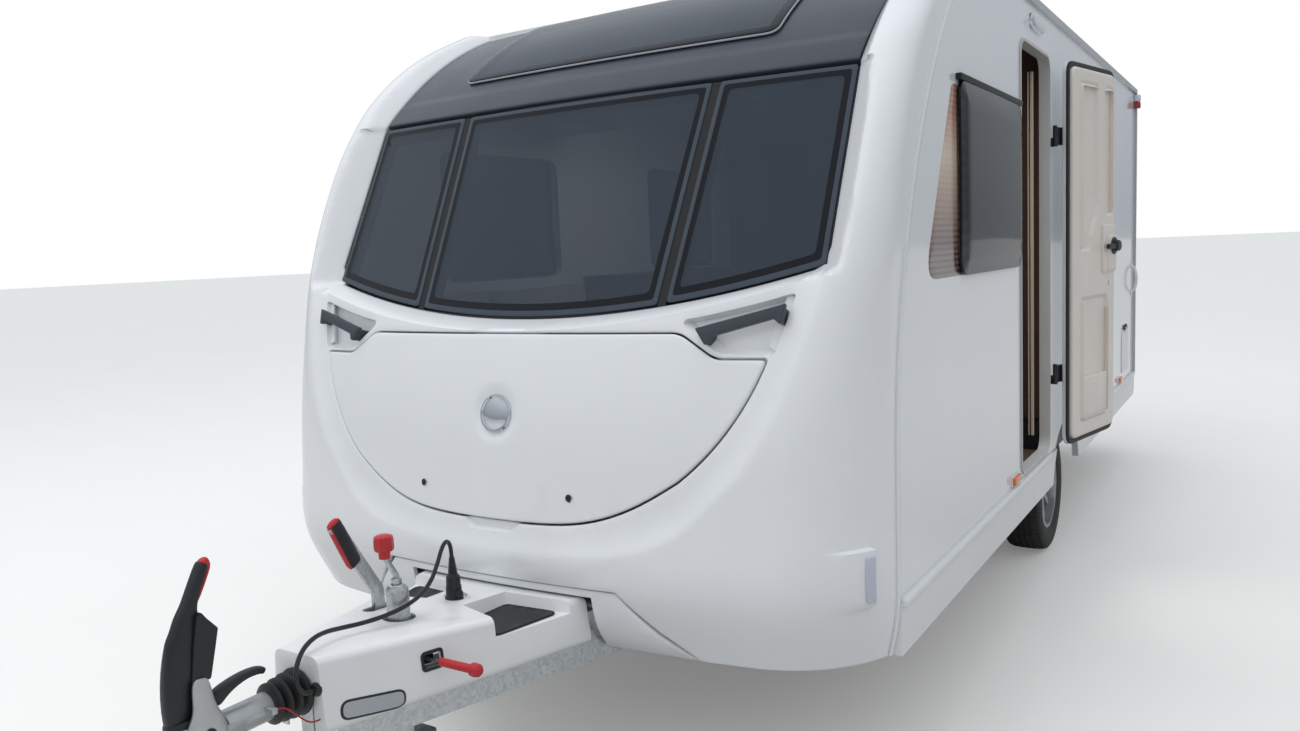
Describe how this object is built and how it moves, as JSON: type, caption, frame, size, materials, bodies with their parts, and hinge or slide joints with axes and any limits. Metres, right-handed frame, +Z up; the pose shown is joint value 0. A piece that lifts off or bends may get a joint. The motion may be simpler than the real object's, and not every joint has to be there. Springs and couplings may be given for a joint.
{
  "type": "touring caravan",
  "caption": "Touring caravan with a rounded moulded front, smoked front windows, an open entrance door, free-turning road wheels and a covered drawbar with ball coupling and jockey wheel.",
  "frame": {"origin": "centre of the tow ball in the coupling cup", "axes": "-Y in the towing direction, +X to the door side, +Z up; the ground is at z = -0.49 m"},
  "size_m": [2.4757, 6.6538, 2.6073],
  "materials": {
    "white_moulding": "gloss",
    "white_wall_panel": "gloss",
    "white_plastic": "satin",
    "graphite_panel": "gloss",
    "smoked_glazing": "polished",
    "floor_board": "matt",
    "black_plastic": "matt",
    "grey_plastic": "satin",
    "galvanised_steel": "satin",
    "tyre_rubber": "matt",
    "jockey_rubber": "matt",
    "bellows_rubber": "matt",
    "alloy_wheel": "satin",
    "door_liner": "satin",
    "anodised_aluminium": "satin",
    "cast_coupling": "satin",
    "cable_sheath": "satin",
    "red_cable": "satin",
    "amber_lens": "gloss",
    "chrome_trim": "polished",
    "cabin_wood": "satin",
    "seat_fabric": "matt"
  },
  "bodies": {
    "caravan_body": {"awning_rails": "anodised_aluminium", "axle": "galvanised_steel", "back_cushions": "seat_fabric", "bellows": "bellows_rubber", "body_hinges": "black_plastic", "body_windows": "smoked_glazing", "breakaway_cable": "red_cable", "cabin_furniture": "cabin_wood", "cable_plug": "black_plastic", "chassis_frame": "galvanised_steel", "coupling_handles": "black_plastic", "coupling_head": "cast_coupling", "door_frame": "anodised_aluminium", "drawbar_cover": "white_plastic", "drawtube": "galvanised_steel", "floor": "floor_board", "front_handles": "grey_plastic", "front_header": "graphite_panel", "front_moulding": "white_moulding", "front_skylight": "smoked_glazing", "front_valance": "white_moulding", "front_windows": "smoked_glazing", "gas_locker_tub": "black_plastic", "handbrake_lever": "galvanised_steel", "jockey_clamp": "galvanised_steel", "nearside_wall": "white_wall_panel", "offside_wall": "white_wall_panel", "outer_lamps": "amber_lens", "overrun_housing": "galvanised_steel", "parking_socket": "black_plastic", "rear_bumper": "white_plastic", "rear_panel": "white_moulding", "roof": "white_wall_panel", "roof_fittings": "white_plastic", "seat_bases": "cabin_wood", "seat_cushions": "seat_fabric", "skirts": "white_plastic", "steady_brackets": "galvanised_steel", "step_pads": "black_plastic", "towing_cable": "cable_sheath", "wheel_housings": "black_plastic", "window_surround": "black_plastic"},
    "nearside_wheel": {"nearside_tyre": "tyre_rubber", "nearside_rim": "alloy_wheel"},
    "offside_wheel": {"offside_tyre": "tyre_rubber", "offside_rim": "alloy_wheel"},
    "entrance_door": {"door": "door_liner"},
    "locker_lid": {"gas_locker_lid": "white_moulding", "lid_trim": "chrome_trim"},
    "jockey_tube": {"jockey_inner_tube": "galvanised_steel"},
    "jockey_caster": {"jockey_fork": "galvanised_steel"},
    "jockey_roller": {"jockey_wheel": "jockey_rubber"},
    "nearside_hatch": {"locker_hatch_nearside": "white_plastic"},
    "offside_hatch": {"locker_hatch_offside": "white_plastic"},
    "cassette_hatch": {"cassette_hatch_offside": "white_plastic"},
    "steady_front_nearside": {"steady_front_nearside": "galvanised_steel"},
    "steady_front_offside": {"steady_front_offside": "galvanised_steel"},
    "steady_rear_nearside": {"steady_rear_nearside": "galvanised_steel"},
    "steady_rear_offside": {"steady_rear_offside": "galvanised_steel"}
  },
  "joints": [
    {"name": "nearside_wheel_spin", "type": "hinge", "parent": "caravan_body", "child": "nearside_wheel", "pos_m": [0.962, 3.88, -0.192], "axis": [1, 0, 0], "continuous": true},
    {"name": "offside_wheel_spin", "type": "hinge", "parent": "caravan_body", "child": "offside_wheel", "pos_m": [-0.962, 3.88, -0.192], "axis": [1, 0, 0], "continuous": true},
    {"name": "entrance_door_hinge", "type": "hinge", "parent": "caravan_body", "child": "entrance_door", "pos_m": [1.137, 3.5, 0.895], "axis": [0, 0, 1], "range_deg": [-168, 7]},
    {"name": "locker_lid_hinge", "type": "hinge", "parent": "caravan_body", "child": "locker_lid", "pos_m": [0, 1.084, 0.816], "axis": [-1, 0, 0], "range_deg": [0, 70]},
    {"name": "nearside_hatch_hinge", "type": "hinge", "parent": "caravan_body", "child": "nearside_hatch", "pos_m": [1.123, 6.04, 0.408], "axis": [0, -1, 0], "range_deg": [0, 110]},
    {"name": "offside_hatch_hinge", "type": "hinge", "parent": "caravan_body", "child": "offside_hatch", "pos_m": [-1.123, 1.73, 0.478], "axis": [0, 1, 0], "range_deg": [0, 110]},
    {"name": "cassette_hatch_hinge", "type": "hinge", "parent": "caravan_body", "child": "cassette_hatch", "pos_m": [-1.123, 5.075, 0.518], "axis": [0, 1, 0], "range_deg": [0, 110]},
    {"name": "jockey_height", "type": "slide", "parent": "caravan_body", "child": "jockey_tube", "axis": [0, 0, 1], "range_m": [-0.05, 0.13]},
    {"name": "jockey_swivel", "type": "hinge", "parent": "jockey_tube", "child": "jockey_caster", "pos_m": [0, 0.597, -0.236], "axis": [0, 0, 1], "continuous": true},
    {"name": "jockey_wheel_spin", "type": "hinge", "parent": "jockey_caster", "child": "jockey_roller", "pos_m": [0, 0.649, -0.38], "axis": [1, 0, 0], "continuous": true},
    {"name": "steady_front_nearside_swing", "type": "hinge", "parent": "caravan_body", "child": "steady_front_nearside", "pos_m": [0.62, 1.64, -0.022], "axis": [-1, 0, 0], "range_deg": [0, 60]},
    {"name": "steady_front_offside_swing", "type": "hinge", "parent": "caravan_body", "child": "steady_front_offside", "pos_m": [-0.62, 1.64, -0.022], "axis": [-1, 0, 0], "range_deg": [0, 60]},
    {"name": "steady_rear_nearside_swing", "type": "hinge", "parent": "caravan_body", "child": "steady_rear_nearside", "pos_m": [0.62, 6.12, -0.022], "axis": [1, 0, 0], "range_deg": [0, 60]},
    {"name": "steady_rear_offside_swing", "type": "hinge", "parent": "caravan_body", "child": "steady_rear_offside", "pos_m": [-0.62, 6.12, -0.022], "axis": [1, 0, 0], "range_deg": [0, 60]}
  ]
}
